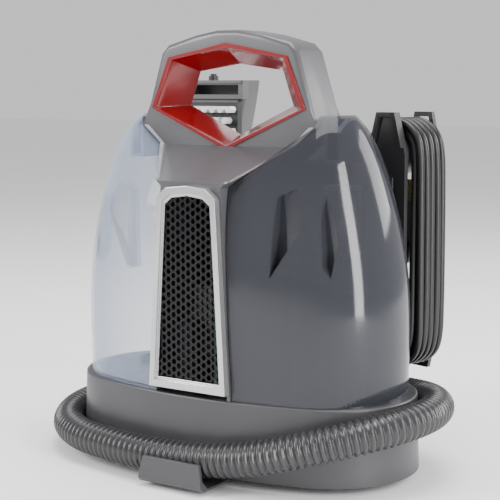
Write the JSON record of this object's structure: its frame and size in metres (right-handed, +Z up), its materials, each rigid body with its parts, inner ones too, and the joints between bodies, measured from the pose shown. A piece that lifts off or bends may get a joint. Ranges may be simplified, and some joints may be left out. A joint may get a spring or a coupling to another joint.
{
  "type": "spot extractor",
  "caption": "Portable carpet spot extractor with clear and smoked side tanks, front grille, carry handle, wrapped hose, cord wrap and hand spray tool.",
  "frame": {"origin": "on the floor under the middle of the machine without its hose and cord", "axes": "+X to the right as seen from the front, +Y to the back, +Z up; the grille faces -Y"},
  "size_m": [0.3701, 0.2434, 0.362],
  "materials": {
    "base_grey": "satin",
    "housing_grey": "satin",
    "liner_red": "gloss",
    "silver_trim": "satin metallic",
    "mesh_black": "satin",
    "rubber_black": "matte",
    "steel": "brushed",
    "clean_clear": "clear plastic",
    "smoke_clear": "smoked plastic",
    "white_plastic": "gloss",
    "grip_grey": "satin",
    "float_white": "gloss",
    "cap_dark": "satin",
    "motor_metal": "satin",
    "pump_black": "satin",
    "board_green": "satin",
    "switch_red": "gloss",
    "wrap_grey": "satin",
    "cord_black": "satin",
    "brass_pins": "polished",
    "tool_grey": "satin",
    "tool_black": "satin",
    "bristle_white": "matte",
    "hose_grey": "satin"
  },
  "bodies": {
    "machine": {"base_tub": "base_grey", "base_plate": "base_grey", "rubber_feet": "rubber_black", "base_screws": "steel", "hose_hook": "base_grey", "housing_front": "housing_grey", "housing_rear": "housing_grey", "handle_liner_front": "liner_red", "handle_liner_rear": "liner_red", "v_trim": "silver_trim", "grille_frame": "silver_trim", "grille_mesh": "mesh_black", "motor_can": "motor_metal", "fan_cover": "pump_black", "motor_mount": "pump_black", "fan_bracket": "steel", "water_pump": "pump_black", "control_board": "board_green", "switch_bezel": "mesh_black", "cord_wrap_frame": "wrap_grey", "cord_winding": "cord_black", "strain_relief": "rubber_black", "cord_lead": "cord_black", "plug_body": "cord_black", "plug_pins": "brass_pins", "tool_cradle": "housing_grey", "hose": "hose_grey", "hose_port": "base_grey", "housing_screws": "steel"},
    "clean_tank_body": {"clean_tank": "clean_clear", "clean_tank_tube": "white_plastic", "clean_tank_grip": "grip_grey"},
    "clean_cap_body": {"clean_cap": "cap_dark", "clean_valve": "white_plastic"},
    "dirty_tank_body": {"dirty_tank": "smoke_clear", "dirty_tank_grip": "grip_grey", "float_cage": "white_plastic", "dirty_standpipe": "tool_black"},
    "drain_cap_body": {"drain_cap": "cap_dark"},
    "float_body": {"float_ball": "float_white"},
    "rotor_body": {"motor_rotor": "motor_metal"},
    "switch_body": {"switch_rocker": "switch_red"},
    "cord_hook_body": {"cord_hook": "wrap_grey"},
    "tool_body": {"tool_head": "tool_grey", "brush_plate": "tool_black", "brush_tufts": "bristle_white", "tool_grip": "tool_black", "trigger_pin": "steel", "tool_cuff": "tool_grey", "spray_tip": "cap_dark"},
    "trigger_body": {"trigger": "tool_grey"}
  },
  "joints": [
    {"name": "clean_tank_tilt", "type": "hinge", "parent": "machine", "child": "clean_tank_body", "pos_m": [-0.1495, -0.00075, 0.068], "axis": [0, -1, 0], "range_deg": [0, 22]},
    {"name": "dirty_tank_tilt", "type": "hinge", "parent": "machine", "child": "dirty_tank_body", "pos_m": [0.1495, -0.00075, 0.068], "axis": [0, 1, 0], "range_deg": [0, 22]},
    {"name": "clean_cap_turn", "type": "hinge", "parent": "clean_tank_body", "child": "clean_cap_body", "pos_m": [-0.098, 0.00325, 0.064], "axis": [0, 0, 1], "range_deg": [0, 90]},
    {"name": "drain_cap_turn", "type": "hinge", "parent": "dirty_tank_body", "child": "drain_cap_body", "pos_m": [0.098, 0.00325, 0.064], "axis": [0, 0, 1], "range_deg": [0, 90]},
    {"name": "float_rise", "type": "slide", "parent": "dirty_tank_body", "child": "float_body", "axis": [0, 0, 1], "range_m": [0, 0.022]},
    {"name": "fan_spin", "type": "hinge", "parent": "machine", "child": "rotor_body", "pos_m": [0, 0.01925, 0.12], "axis": [0, 0, 1], "continuous": true},
    {"name": "switch_rock", "type": "hinge", "parent": "machine", "child": "switch_body", "pos_m": [0.034, 0.05725, 0.247], "axis": [0, 1, 0], "range_deg": [0, 10]},
    {"name": "cord_hook_turn", "type": "hinge", "parent": "machine", "child": "cord_hook_body", "pos_m": [0.106, 0.05975, 0.26], "axis": [0.2588, 0.9659, 0], "range_deg": [0, 180]},
    {"name": "tool_lift", "type": "slide", "parent": "machine", "child": "tool_body", "axis": [0, 0, 1], "range_m": [0, 0.05]},
    {"name": "trigger_pull", "type": "hinge", "parent": "tool_body", "child": "trigger_body", "pos_m": [-0.092, 0.10925, 0.218], "axis": [-1, 0, 0], "range_deg": [0, 6], "stiffness_Nm_per_rad": 0.15}
  ]
}
